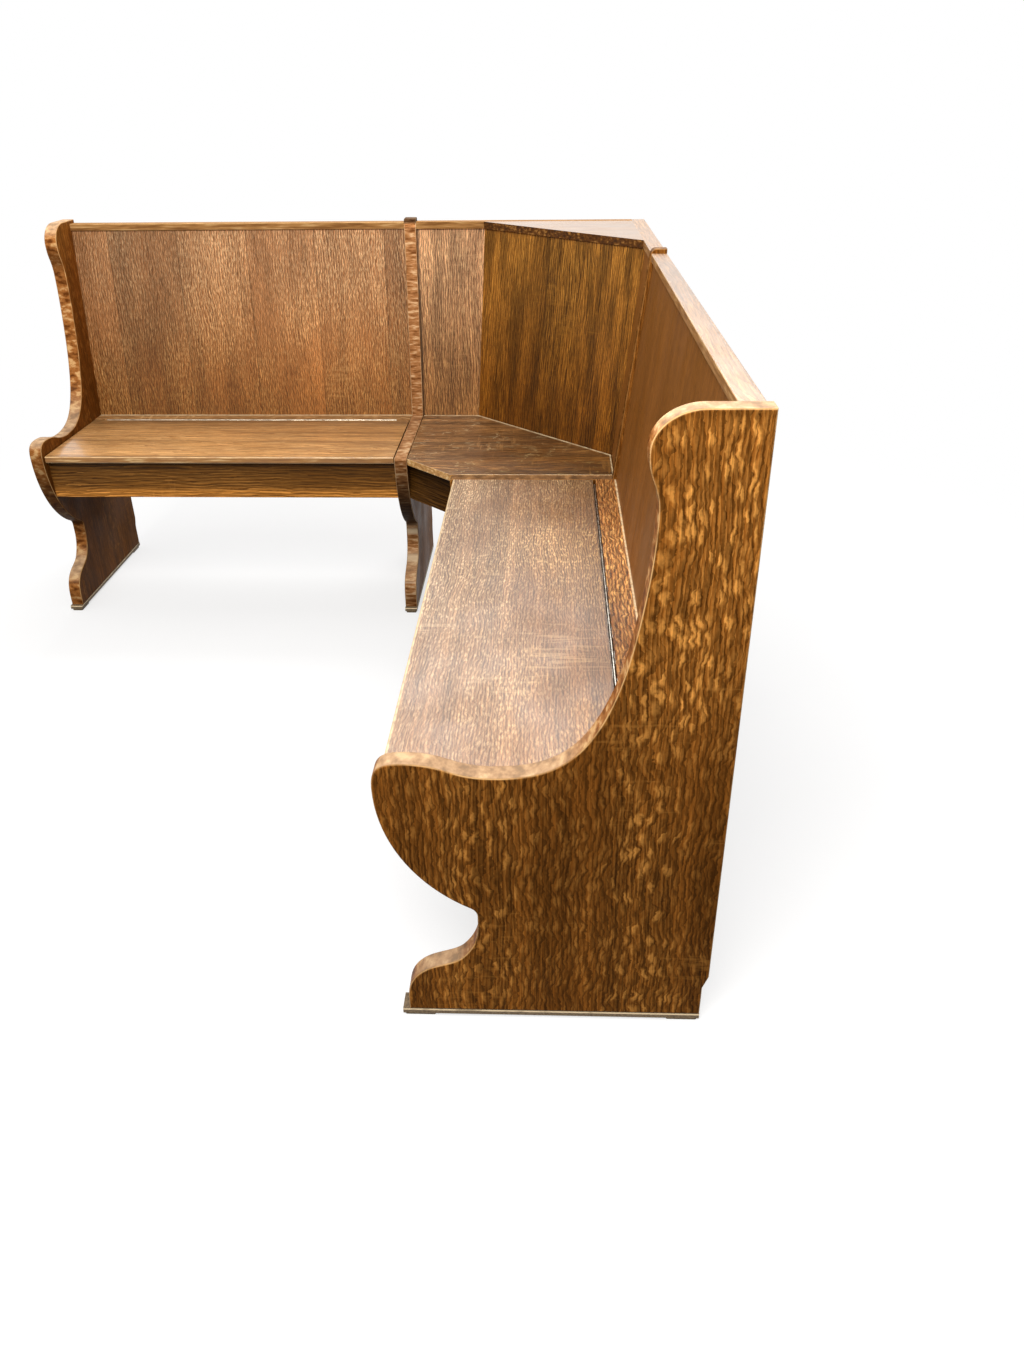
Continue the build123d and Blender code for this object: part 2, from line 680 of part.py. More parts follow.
def corner_bolts():
    """Coach bolts from each storage box through the divider into the corner unit, with their nuts."""
    grip = 2 * CLEAT_WIDTH + PANEL_THICK
    places = [(reach, BOLT_Z) for reach in BOLT_REACHES]
    heads = [side(LEFT, LEFT_SPAN - CLEAT_WIDTH), side(RIGHT, CLEAT_WIDTH)]
    inward = [-grip - BOLT_TAIL, grip + BOLT_TAIL]
    outward = [BOLT_HEAD_THICK, -BOLT_HEAD_THICK]
    with BuildPart() as bolts:
        for plane, shank, head in zip(heads, inward, outward):
            with BuildSketch(plane):
                with Locations(*places):
                    Circle(BOLT_RADIUS)
            extrude(amount=shank)
            with BuildSketch(plane):
                with Locations(*places):
                    Circle(BOLT_HEAD_RADIUS)
            extrude(amount=head)
    save(bolts, "corner_bolts")

    seats = [side(LEFT, LEFT_SPAN + PANEL_THICK + CLEAT_WIDTH), side(RIGHT, -PANEL_THICK - CLEAT_WIDTH)]
    with BuildPart() as nuts:
        for plane, amount in zip(seats, (-NUT_THICK, NUT_THICK)):
            with BuildSketch(plane):
                with Locations(*places):
                    RegularPolygon(NUT_ACROSS / 2, 6, major_radius=False)
                    Circle(BOLT_RADIUS + PIN_CLEAR, mode=Mode.SUBTRACT)
            extrude(amount=amount)
    save(nuts, "corner_nuts")


def feet():
    """A dark sole strip under each upright, proud of its toe, and two thin pads under each strip."""
    uprights = [(LEFT, -PANEL_THICK), (LEFT, LEFT_SPAN), (RIGHT, -PANEL_THICK), (RIGHT, RIGHT_SPAN)]
    width = PANEL_THICK - 2 * PAD_INSET
    middles = (SOLE_REACH - PAD_INSET - PAD_LENGTH / 2, NOTCH_DEPTH + PAD_INSET + PAD_LENGTH / 2)
    with BuildPart() as soles:
        for bench, x in uprights:
            with BuildSketch(bench.offset(PAD_THICK)):
                with Locations((x + PANEL_THICK / 2, -(SOLE_REACH + NOTCH_DEPTH) / 2)):
                    Rectangle(PANEL_THICK, SOLE_REACH - NOTCH_DEPTH)
            extrude(amount=SOLE_THICK)
    save(soles, "sole_strips")

    with BuildPart() as pads:
        for bench, x in uprights:
            with BuildSketch(bench):
                with Locations(*[(x + PANEL_THICK / 2, -middle) for middle in middles]):
                    RectangleRounded(width, PAD_LENGTH, PAD_INSET)
            extrude(amount=PAD_THICK)
    save(pads, "foot_pads")


os.makedirs("parts", exist_ok=True)
bolt_places = [(reach, BOLT_Z) for reach in BOLT_REACHES]
end_panel("left_end_panel", LEFT, 0)
divider("left_divider", LEFT, LEFT_SPAN + PANEL_THICK, bolt_places)
divider("right_divider", RIGHT, 0, bolt_places)
end_panel("right_end_panel", RIGHT, RIGHT_SPAN + PANEL_THICK)
straight_bench("left", LEFT, LEFT_SPAN, LEFT_SPAN)
straight_bench("right", RIGHT, RIGHT_SPAN, CLEAT_WIDTH)
corner_unit()
corner_bolts()
feet()
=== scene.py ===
"""Looks of the corner bench: dark varnished quarter-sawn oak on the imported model, in a white studio.

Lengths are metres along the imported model's own axes. Colours are display colours from 0 to 255, and tints are
factors."""

import math

import bpy
from mathutils import Matrix, Vector


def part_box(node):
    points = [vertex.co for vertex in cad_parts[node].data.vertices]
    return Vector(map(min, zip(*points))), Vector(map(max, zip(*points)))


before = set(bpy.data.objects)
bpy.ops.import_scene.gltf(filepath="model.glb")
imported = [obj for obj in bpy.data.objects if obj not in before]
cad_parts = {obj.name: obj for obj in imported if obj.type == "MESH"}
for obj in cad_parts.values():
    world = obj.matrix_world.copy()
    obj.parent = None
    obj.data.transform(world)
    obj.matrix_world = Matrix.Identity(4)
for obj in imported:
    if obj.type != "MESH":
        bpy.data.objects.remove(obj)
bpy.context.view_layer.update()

X, Y, Z = (1, 0, 0), (0, 1, 0), (0, 0, 1)
ROOT = math.sqrt(0.5)
SLANT = (ROOT, -ROOT, 0)
OUTWARD = (ROOT, ROOT, 0)
WHITE = (1.0, 1.0, 1.0, 1.0)

LOW, HIGH = 0, 1
MIX_FACTOR, MIX_A, MIX_B, MIX_RESULT = 0, 6, 7, 2

# Noise to the metre in the wood: across the board, through its thickness and along its grain
WANDER = (2.5, 2.5, 1.2)
BAND = (30.0, 30.0, 1.0)
FIBRE = (480.0, 480.0, 14.0)
LEAN = (10.0, 10.0, 9.0)
PRESENCE = (6.0, 6.0, 2.5)
WAVE = (11.0, 11.0, 4.0)
CLOUD = (3.2, 3.2, 2.0)
SCUFF = (14.0, 14.0, 120.0)
SCUFF_PATCH = (5.0, 5.0, 6.0)
SCRATCH = (55.0, 55.0, 25.0)
SCRATCH_PATCH = (13.0, 13.0, 13.0)
RIM_PATCH = (60.0, 60.0, 60.0)
ARRIS_PATCH = (22.0, 22.0, 22.0)
GLOSS = (9.0, 9.0, 7.0)
BOARD_EDGE = (130.0, 130.0, 12.0)
RIPPLED_EDGE = (45.0, 30.0, 150.0)
MOTTLED_EDGE = (50.0, 35.0, 70.0)

# Noise to the metre elsewhere, along X, Y and Z
METAL_SCRATCH = (300.0, 300.0, 300.0)
TARNISH = (35.0, 35.0, 60.0)
SPECKLE = (260.0, 260.0, 260.0)
SOLE_PATCH = (40.0, 40.0, 40.0)
FLOOR_GRAIN = (3.0, 3.0, 3.0)

# How far the grain wanders, and where along it flecks grow dense on boards that have columns
WANDER_REACH = 0.04
DENSE_FROM, DENSE_FULL = 0.45, 0.7

# A column of wide flecks: half its width, how far it spreads them, and where it thins out
COLUMN_HALF = 0.035
COLUMN_SPREAD = 0.019
COLUMN_CORE, COLUMN_RIM = 0.02, 0.08

# Veneer leaves: the last one's breadth, half the width of the jump in tone at a joint, the joint's dark line,
# and how far a leaf's number shifts its grain and its flecks
LAST_LEAF = 0.3
HALF_JUMP = 0.0003
JOINT_CORE, JOINT_RIM = 0.0004, 0.0022
GRAIN_SHIFT, FLECK_SHIFT = 40.0, 570.0

# How squarely a surface looks the broad face's way, from all edge to all face
ALL_EDGE, ALL_FACE = 0.15, 0.75

# Painted highlight stripes on an edge run out over this length
HIGHLIGHT_BAND_FADE = 0.05

# How far roughness goes below and above its middle, and the depth of bumps
GLOSSIER, DULLER = 0.08, 0.1
BUMP_DEPTH = 0.001

# Pale lines, painted highlights with some wear, lie this far inside a board's end
SEAT_INSET = 0.0017
STRIP_INSET = 0.0014
LID_INSET = 0.001

# The hinge leaves' tops lie this far under the pin, and the knuckles' darkening, dirt with painted shade,
# changes over this height there
LEAF_DROP = 0.0023
LEAF_BLEND = 0.0005

# The soles' pale arris, wear with a painted highlight, begins and is full this far under their tops
ARRIS_FROM_DROP, ARRIS_FULL_DROP = 0.0038, 0.0026

# Places taken from the frame with those lengths, and the corner seat's diagonal rear line
CORNER_SEAT_REAR_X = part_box("corner_seat")[HIGH][0] - SEAT_INSET
CORNER_SEAT_REAR_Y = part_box("corner_seat")[HIGH][1] - SEAT_INSET
LEFT_STRIP_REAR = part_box("left_hinge_strip")[HIGH][1] - STRIP_INSET
RIGHT_STRIP_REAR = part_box("right_hinge_strip")[HIGH][0] - STRIP_INSET
RIGHT_LID_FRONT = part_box("right_seat_lid")[LOW][0] + LID_INSET
LEAF_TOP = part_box("left_hinge_pin")[LOW][2] - LEAF_DROP
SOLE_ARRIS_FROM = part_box("sole_strips")[HIGH][2] - ARRIS_FROM_DROP
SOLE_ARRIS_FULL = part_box("sole_strips")[HIGH][2] - ARRIS_FULL_DROP
DIAGONAL_FOOT = 0.878

# Colours of wear and of painted light: pale scratches and pale lines, painted sheen with some wear on edges,
# the soles' arris with a painted highlight, and dirt with painted shade on the hinge knuckles
RIM = (242, 218, 174)
SHEEN_AND_WEAR = (246, 220, 182)
SOLE_ARRIS_WEAR_AND_HIGHLIGHT = (248, 222, 182)
GRIME_AND_SHADE = (34, 26, 18)

# Boards and sawn edges: the dark, the middle and the light colour
PANEL = ((60, 31, 7), (128, 76, 26), (216, 148, 70))
PANEL_EDGE = ((104, 56, 20), (176, 112, 56), (232, 184, 124))
LEFT_DIVIDER_EDGE = ((118, 70, 34), (188, 130, 80), (236, 196, 148))
RIGHT_DIVIDER_EDGE = ((84, 50, 16), (124, 78, 32), (176, 124, 68))
LEFT_BACK = ((112, 66, 30), (168, 110, 62), (230, 178, 118))
RIGHT_BACK = ((112, 68, 24), (140, 88, 36), (158, 104, 48))
CORNER_BACK = ((118, 74, 42), (160, 110, 70), (214, 162, 108))
DIAGONAL_BACK = ((84, 48, 10), (122, 74, 24), (176, 116, 44))
LEFT_SEAT = ((134, 86, 42), (190, 138, 80), (226, 178, 118))
RIGHT_SEAT = ((84, 54, 32), (144, 102, 68), (236, 198, 150))
CORNER_SEAT = ((66, 40, 18), (114, 76, 42), (184, 136, 86))
SEAT_EDGE = ((146, 100, 54), (176, 124, 66), (236, 198, 140))
# The seat edges' colours made lighter for the corner seat, painted light on its edges that stand in shade
CORNER_SEAT_EDGE_PAINTED_LIGHT = ((174, 120, 62), (210, 154, 84), (248, 210, 150))
LEFT_STRIP = ((104, 70, 36), (158, 112, 66), (226, 184, 128))
RIGHT_STRIP = ((70, 36, 10), (140, 84, 36), (226, 168, 96))
CAP = ((132, 90, 48), (178, 130, 78), (204, 156, 100))
CAP_EDGE = ((138, 92, 46), (190, 138, 80), (228, 186, 126))
CORNER_CAP_EDGE = ((60, 34, 10), (104, 62, 20), (180, 128, 66))
APRON = ((96, 58, 20), (148, 95, 37), (196, 134, 64))
TIMBER = ((128, 92, 56), (160, 120, 78), (180, 140, 96))

# Metal, soles and pads
LEFT_HINGE = (240, 228, 204)
RIGHT_HINGE = (190, 184, 172)
ZINC = (176, 176, 178)
SOLE = ((84, 66, 44), (124, 104, 76))
PAD = ((92, 76, 54), (126, 108, 80))

# Veneer leaves: where each starts across the board, and its tone at both sides
LEFT_LEAVES = (
    (-0.7935, 0.92, 1.02), (-0.6935, 0.70, 0.84), (-0.4965, 0.84, 1.06), (-0.2965, 0.98, 1.18),
    (-0.1025, 1.10, 1.14), (0.0975, 0.80, 0.78),
)
DIAGONAL_LEAVES = ((-0.45, 1.25, 0.78), (-0.1414, 0.82, 1.12))
RIGHT_LEAVES = (
    (-0.97, 0.98, 1.02), (-0.72, 1.02, 0.98), (-0.46, 0.95, 1.0), (-0.2, 1.04, 1.0), (0.06, 0.96, 1.0),
    (0.32, 1.0, 1.0),
)

# Painted light and shade along the grain, each a place and a level. End panels and dividers are darker low
# down, lighter high up, and a little darker again at the very top. The left divider's head has a painted
# highlight line under a painted dark top. The backs are darker low down. The left seat is darker towards its
# right end. The right seat is lighter towards its near end and darker towards its far end
PANEL_PAINTED_LIGHT = (
    (0.0, 0.74), (0.16, 0.7), (0.3, 0.6), (0.55, 0.84), (0.8, 1.08), (0.985, 1.22), (0.997, 1.0), (1.0, 1.0),
)
LEFT_DIVIDER_PAINTED_LIGHT = (
    (0.0, 0.74), (0.16, 0.7), (0.3, 0.6), (0.55, 0.84), (0.8, 1.08), (0.977, 1.2), (0.980, 1.9),
    (0.986, 1.9), (0.989, 0.25), (1.0, 0.25),
)
BACK_PAINTED_SHADE = ((0.44, 0.78), (0.55, 0.92), (0.75, 1.04), (1.0, 1.04))
LEFT_SEAT_PAINTED_SHADE = ((-0.8, 1.0), (-0.05, 1.0), (0.2, 0.86))
RIGHT_SEAT_PAINTED_LIGHT = ((-0.98, 1.2), (-0.65, 1.12), (-0.3, 1.03), (0.36, 0.86))

# Painted shade and tones across the grain, each a place and a level. The corner back has a painted shadow line
# beside the left divider and grows lighter towards its right. A painted shadow lies over the left seat's rear
# part. The right seat's boards have painted shade along its rear edge. Painted sheen lies over the right
# strip's rear half. The aprons have painted shade under the seats, and the left and right aprons are lighter
# low down
CORNER_BACK_PAINTED_SHADOW = (
    (0.1895, 0.26), (0.1925, 0.3), (0.197, 0.98), (0.34, 0.98), (0.36, 1.08), (0.3896, 1.1),
)
LEFT_SEAT_PAINTED_SHADOW = ((0.484, 1.02), (0.770, 1.02), (0.779, 0.7), (0.834, 0.6))
RIGHT_SEAT_BOARDS_AND_SHADE = ((0.31, 0.94), (0.478, 0.88), (0.480, 1.1), (0.58, 1.05), (0.672, 0.84), (0.676, 0.4))
RIGHT_STRIP_PAINTED_SHEEN = ((0.68, 0.95), (0.705, 1.0), (0.725, 1.25), (0.735, 1.3))
APRON_PAINTED_SHADE = ((0.33, 1.9), (0.360, 1.7), (0.376, 0.7), (0.41, 0.42), (0.45, 0.25))
CORNER_APRON_PAINTED_SHADE = ((0.33, 0.36), (0.45, 0.09))

# Painted light and shade on edges, by how far they look up, from -1 to 1: darker where they look down and
# lighter where they look up. Below that, painted highlights and shade in stripes up the dividers' front edges,
# where a level over 1 mixes in painted sheen
EDGE_PAINTED_LIGHT = ((-1.0, 0.4), (-0.3, 0.5), (0.0, 0.9), (0.3, 1.1), (1.0, 1.1))
FOOT_HIGHLIGHTS_AND_SHADE = (
    (0.0, 0.8), (0.04, 0.75), (0.08, 0.8), (0.086, 1.4), (0.09, 1.1), (0.12, 1.15), (0.126, 1.7),
    (0.134, 1.75), (0.141, 1.2), (0.165, 0.9), (0.187, 0.7), (0.197, 1.8), (0.206, 1.85), (0.212, 1.2),
    (0.231, 1.1), (0.24, 0.35), (0.3, 0.35), (0.4, 0.8), (0.47, 1.0), (1.0, 1.0),
)

# The painted highlights and shade on the dividers' feet reach back to here, along Y on the left divider and
# along X on the right one
LEFT_HIGHLIGHTS_END, RIGHT_HIGHLIGHTS_END = 0.62, 0.46

# Flecks that fade towards the right seat's near end: two places along the grain, and their share at the first
RIGHT_SEAT_FADE = (-0.95, 0.05, 0.45)

# Painted light tints that change over a board, each a direction, two places along it and the tint at each. The
# backs are darker and warmer low down and paler and cooler high up. The right seat is paler and cooler at its
# front and darker and warmer at its rear. The corner seat is darker and warmer towards the right bench
BACK_PAINTED_TINT = (Z, 0.47, 0.97, (0.8, 0.72, 0.52), (1.02, 1.12, 1.38))
CORNER_PAINTED_TINT = (Z, 0.47, 0.97, (0.74, 0.68, 0.5), (1.24, 1.4, 1.65))
RIGHT_SEAT_PAINTED_TINT = (X, 0.32, 0.67, (1.08, 1.16, 1.26), (0.88, 0.82, 0.66))
CORNER_SEAT_PAINTED_TINT = (SLANT, -0.46, 0.2, (1.08, 1.1, 1.1), (0.62, 0.55, 0.32))

# Pale lines along edges and joints, painted highlights with some wear: a direction, a place along it and a
# width
LEFT_STRIP_RIMS = ((Y, LEFT_STRIP_REAR, 0.012),)
RIGHT_STRIP_RIMS = ((X, RIGHT_STRIP_REAR, 0.0036),)
RIGHT_SEAT_RIMS = ((X, RIGHT_LID_FRONT, 0.005),)
CORNER_SEAT_RIMS = (
    (Y, CORNER_SEAT_REAR_Y, 0.009), (OUTWARD, DIAGONAL_FOOT, 0.009), (X, CORNER_SEAT_REAR_X, 0.0036),
)

# The floor, and between which distances from the middle it runs out to white
FLOOR_RADIUS = 30.0
FLOOR_SIDES = 96
FLOOR_FADE_FROM, FLOOR_FADE_FULL = 1.2, 2.8

# The photograph's camera, with angles in radians
CAMERA_PLACE = (0.5666, -2.1513, 1.3201)
YAW, PITCH, ROLL = -0.0393, 0.5299, -0.0108
FOCAL_PIXELS = 1020.9
PHOTO_HEIGHT_PIXELS = 1365.0
SENSOR_MM = 36.0


def linear(rgb):
    """Scene-linear colour of a display colour given as 0 to 255."""
    steps = [c / 255 for c in rgb]
    return tuple(c / 12.92 if c <= 0.04045 else ((c + 0.055) / 1.055) ** 2.4 for c in steps) + (1.0,)


class Nodes:
    """A node tree, built socket by socket."""

    def __init__(self, tree):
        self.tree = tree

    def put(self, socket, value):
        """Link an output to a socket, or set the socket's value."""
        if isinstance(value, bpy.types.NodeSocket):
            self.tree.links.new(value, socket)
        else:
            socket.default_value = value

    def node(self, kind, values, **settings):
        """A new node with its settings and the values of its inputs."""
        made = self.tree.nodes.new(kind)
        for key, value in settings.items():
            setattr(made, key, value)
        for key, value in values.items():
            self.put(made.inputs[key], value)
        return made

    def math(self, operation, a, b=0.0, clamp=False):
        return self.node("ShaderNodeMath", {0: a, 1: b}, operation=operation, use_clamp=clamp).outputs[0]

    def plus(self, a, b):
        return self.math("ADD", a, b)

    def minus(self, a, b):
        return self.math("SUBTRACT", a, b)

    def times(self, a, b):
        return self.math("MULTIPLY", a, b)

    def away(self, value, place):
        """How far a coordinate is from a place, to either side."""
        return self.math("ABSOLUTE", self.minus(value, place))

    def join(self, *coordinates):
        return self.node("ShaderNodeCombineXYZ", dict(enumerate(coordinates))).outputs[0]

    def stretch(self, place, factors):
        made = self.node("ShaderNodeVectorMath", {0: place, 1: factors}, operation="MULTIPLY")
        return made.outputs["Vector"]

    def dot(self, vector, direction):
        made = self.node("ShaderNodeVectorMath", {0: vector, 1: direction}, operation="DOT_PRODUCT")
        return made.outputs["Value"]

    def noise(self, place, to_the_metre, detail=2.0, rough=0.5):
        """Noise about 0.5, with its scale to the metre in each direction."""
        scaled = self.stretch(place, to_the_metre)
        values = {"Vector": scaled, "Scale": 1.0, "Detail": detail, "Roughness": rough}
        return self.node("ShaderNodeTexNoise", values).outputs["Fac"]

    def remap(self, value, low, high, to_low=0.0, to_high=1.0, interpolation="SMOOTHSTEP"):
        """A level that goes from to_low to to_high while the value goes from low to high."""
        values = {"Value": value, "From Min": low, "From Max": high, "To Min": to_low, "To Max": to_high}
        return self.node("ShaderNodeMapRange", values, interpolation_type=interpolation).outputs[0]

    def profile(self, value, stops, interpolation="LINEAR"):
        """Grey level that follows (place, level) stops along a coordinate, up to 2."""
        low, high = stops[0][0], stops[-1][0]
        share = self.math("DIVIDE", self.minus(value, low), high - low)
        curve = self.node("ShaderNodeValToRGB", {0: share})
        ramp = curve.color_ramp
        ramp.interpolation = interpolation
        while len(ramp.elements) < len(stops):
            ramp.elements.new(1.0)
        for element, (place, level) in zip(ramp.elements, stops):
            element.position = (place - low) / (high - low)
            element.color = (level / 2, level / 2, level / 2, 1.0)
        return self.times(curve.outputs[0], 2.0)

    def mix(self, factor, a, b, blend="MIX"):
        """Colour a with a share of colour b."""
        made = self.tree.nodes.new("ShaderNodeMix")
        made.data_type = "RGBA"
        made.blend_type = blend
        self.put(made.inputs[MIX_FACTOR], factor)
        self.put(made.inputs[MIX_A], a)
        self.put(made.inputs[MIX_B], b)
        return made.outputs[MIX_RESULT]

    def grey(self, amount):
        return self.node("ShaderNodeCombineColor", {0: amount, 1: amount, 2: amount}).outputs[0]

    def shade(self, colour, amount):
        """Colour times a grey amount."""
        return self.mix(1.0, colour, self.grey(amount), "MULTIPLY")


class Shader(Nodes):
    """A material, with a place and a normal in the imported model's axes."""

    def __init__(self, name):
        self.material = bpy.data.materials.new(name)
        self.material.use_nodes = True
        super().__init__(self.material.node_tree)
        self.surface = self.tree.nodes["Principled BSDF"]
        coordinates = self.tree.nodes.new("ShaderNodeTexCoord").outputs
        self.spot = coordinates["Object"]
        self.normal = coordinates["Normal"]

    def finish(self, colour, rough, bump, height, coat, coat_rough):
        """The material, with its colour, roughness, bumps and coat in place."""
        self.put(self.surface.inputs["Base Color"], colour)
        self.put(self.surface.inputs["Roughness"], rough)
        self.put(self.surface.inputs["Coat Weight"], coat)
        self.put(self.surface.inputs["Coat Roughness"], coat_rough)
        relief = self.node("ShaderNodeBump", {"Strength": bump, "Distance": BUMP_DEPTH, "Height": height})
        self.put(self.surface.inputs["Normal"], relief.outputs[0])
        return self.material


def leaf_numbers(leaves):
    """A number for each veneer leaf, different on up to eleven of them."""
    return [(start, 0.1 + 0.07 * (n * 5 % 11)) for n, (start, low, high) in enumerate(leaves)]


def leaf_tones(leaves):
    """Tones that run across each leaf and jump at the joints."""
    ends = [start for start, low, high in leaves[1:]] + [leaves[-1][0] + LAST_LEAF]
    stops = []
    for (start, low, high), end in zip(leaves, ends):
        stops += [(start + HALF_JUMP, low), (end - HALF_JUMP, high)]
    return stops


class Oak(Shader):
    """Quarter-sawn oak on a board with one direction across its grain and one along it."""

    def __init__(self, name, across, along, leaves):
        super().__init__(name)
        self.across = self.dot(self.spot, across)
        self.along = self.dot(self.spot, along)
        depth = self.dot(self.spot, Vector(across).cross(Vector(along)))
        self.leaf = None
        if leaves:
            self.leaf = self.profile(self.across, leaf_numbers(leaves), "CONSTANT")
            depth = self.plus(depth, self.times(self.leaf, GRAIN_SHIFT))
        self.plain = self.join(self.across, depth, self.along)
        wander = self.minus(self.noise(self.plain, WANDER), 0.5)
        self.bent = self.plus(self.across, self.times(wander, WANDER_REACH))
        grain = self.join(self.bent, depth, self.along)
        self.band = self.noise(grain, BAND, 4.0, 0.6)
        self.fibre = self.noise(grain, FIBRE, 3.0, 0.6)

    def flecks(self, rays, sway, columns):
        """Short ray flecks: how bright, lit from which side, and how dense."""
        many, few = rays
        lean = self.minus(self.noise(self.plain, LEAN), 0.5)
        ripple = self.minus(self.noise(self.plain, (many * 0.4, many * 0.4, few * 1.8), 3.0, 0.6), 0.5)
        place = self.plus(self.bent, self.times(lean, sway))
        place = self.plus(self.times(place, many), self.times(ripple, 2.0))
        dense = self.remap(self.along, DENSE_FROM, DENSE_FULL, 0.0 if columns else 1.0, 1.0)
        for centre in columns:
            start, end = centre - COLUMN_HALF, centre + COLUMN_HALF
            place = self.minus(place, self.remap(self.across, start, end, 0.0, many * COLUMN_SPREAD))
            near = self.remap(self.away(self.across, centre), COLUMN_CORE, COLUMN_RIM, 1.0, 0.0)
            dense = self.math("MAXIMUM", dense, near)
        if self.leaf is not None:
            place = self.plus(place, self.times(self.leaf, FLECK_SHIFT))
        cell_place = self.join(place, self.times(self.along, few))
        values = {"Vector": cell_place, "Scale": 1.0}
        cell = self.node("ShaderNodeTexVoronoi", values, voronoi_dimensions="2D").outputs
        chance = self.dot(cell["Color"], (0.5, 0.5, 0.0))
        core = self.remap(cell["Distance"], 0.2, 0.52, 1.0, 0.0)
        self.ray = self.times(core, self.remap(chance, 0.44, 0.7, 0.08, 1.0))
        self.slope = self.minus(self.dot(cell["Position"], X), place)
        return dense

    def figure(self, rays, dense, pitch, ribbon, fade):
        """Strength of the dark growth lines and of the light figure, clearest where flecks are dense."""
        many, few = rays
        presence = self.remap(self.noise(self.plain, PRESENCE), 0.32, 0.62, 0.35, 1.0)
        presence = self.times(presence, self.remap(dense, 0.0, 1.0, 0.5, 1.1))
        if fade:
            faint_end, full_end, faint_share = fade
            presence = self.times(presence, self.remap(self.along, faint_end, full_end, faint_share, 1.0))
        wave = self.times(self.noise(self.plain, WAVE), 6.0)
        curl = self.times(self.noise(self.plain, (many * 0.5, many * 0.5, few * 0.5), 3.0, 0.6), 2.0)
        growth = self.math("FRACT", self.plus(self.times(self.bent, pitch), self.plus(wave, curl)))
        shadow = self.times(self.remap(growth, 0.0, 0.25, 1.0, 0.0), presence)
        lines = self.times(self.remap(growth, 0.25, 0.9), ribbon)
        gold = self.times(self.plus(self.times(self.ray, 1.0 - ribbon), lines), presence)
        return shadow, gold

    def stain(self, tones, shadow, gold, relief, streak):
        """The board's colour: fibrous ground, dark lines, light figure with painted light and shade on the
        flecks' two sides, long streaks and clouds.
        """
        dark, middle, light = (linear(tone) for tone in tones)
        tone = self.plus(self.times(self.band, 0.55), self.times(self.fibre, 0.45))
        colour = self.mix(self.remap(tone, 0.30, 0.66), self.mix(0.5, dark, middle), middle)
        colour = self.mix(shadow, colour, dark)
        colour = self.mix(gold, colour, light)
        # Painted light on one side of each fleck and painted shade on the other
        colour = self.shade(colour, self.remap(self.slope, -0.5, 0.5, 1.0 - relief, 1.0 + relief))
        colour = self.shade(colour, self.remap(self.fibre, 0.25, 0.75, 0.72, 1.24))
        colour = self.shade(colour, self.remap(self.band, 0.3, 0.7, 1.0 - streak, 1.0 + streak))
        cloud = self.noise(self.plain, CLOUD, 3.0)
        return self.shade(colour, self.remap(cloud, 0.25, 0.75, 0.88, 1.12))

    def wear(self, colour, light, scuffs, scratches):
        """Light scuffs across the grain and fine pale scratches."""
        scuff = self.times(self.noise(self.plain, SCUFF, 3.0, 0.6), self.noise(self.plain, SCUFF_PATCH))
        colour = self.mix(self.remap(scuff, 0.34, 0.46, 0.0, scuffs), colour, light)
        if scratches:
            thread = self.away(self.noise(self.plain, SCRATCH, 1.0), 0.5)
            patch = self.remap(self.noise(self.plain, SCRATCH_PATCH), 0.44, 0.62)
            share = self.times(self.remap(thread, 0.004, 0.03, scratches, 0.0), patch)
            colour = self.mix(share, colour, linear(RIM))
        return colour

    def spread(self, colour, leaves, breadth, glow):
        """What changes over the board: veneer leaves with dark joints, tones and painted shade across the
        grain, and a painted light tint.
        """
        if leaves:
            colour = self.shade(colour, self.profile(self.across, leaf_tones(leaves)))
        for start, low, high in leaves[1:]:
            joint = self.remap(self.away(self.across, start), JOINT_CORE, JOINT_RIM, 0.55, 1.0)
            colour = self.shade(colour, joint)
        # Tones and painted shade across the grain
        if breadth:
            colour = self.shade(colour, self.profile(self.across, breadth))
        # A painted light tint over the board
        if glow:
            direction, low, high, low_tint, high_tint = glow
            share = self.remap(self.dot(self.spot, direction), low, high)
            tint = self.mix(share, low_tint + (1.0,), high_tint + (1.0,))
            colour = self.mix(1.0, colour, tint, "MULTIPLY")
        return colour

    def pale_lines(self, colour, rims):
        """Pale lines, painted highlights with some wear, patchy, full within a third of their width."""
        for direction, place, width in rims:
            distance = self.away(self.dot(self.spot, direction), place)
            patchy = self.remap(self.noise(self.plain, RIM_PATCH, 3.0), 0.3, 0.6, 0.35, 0.85)
            share = self.times(self.remap(distance, width / 3, width, 1.0, 0.0), patchy)
            colour = self.mix(share, colour, linear(RIM))
        return colour

    def sawn(self, edge, edge_grain, top_sheen, highlight_bands):
        """Colour of the edges beside the broad faces, with painted shade where they look down, painted sheen
        with some wear where they look up, and painted highlights and shade in stripes up the dividers' feet.
        """
        dark, middle, light = (linear(tone) for tone in edge)
        rise = self.dot(self.normal, Z)
        tone = self.noise(self.plain, edge_grain, 3.0, 0.6)
        colour = self.mix(self.remap(tone, 0.30, 0.56), dark, middle)
        colour = self.mix(self.remap(tone, 0.52, 0.68, 0.0, 0.9), colour, light)
        # Painted shade where edges look down and painted light where they look up
        colour = self.shade(colour, self.profile(rise, EDGE_PAINTED_LIGHT))
        # Painted sheen with some wear, patchy, on edges that look up
        patchy = self.remap(tone, 0.35, 0.6, 0.65, 1.0)
        sheen_share = self.times(self.remap(rise, 0.35, 0.95, 0.0, top_sheen), patchy)
        colour = self.mix(sheen_share, colour, linear(SHEEN_AND_WEAR))
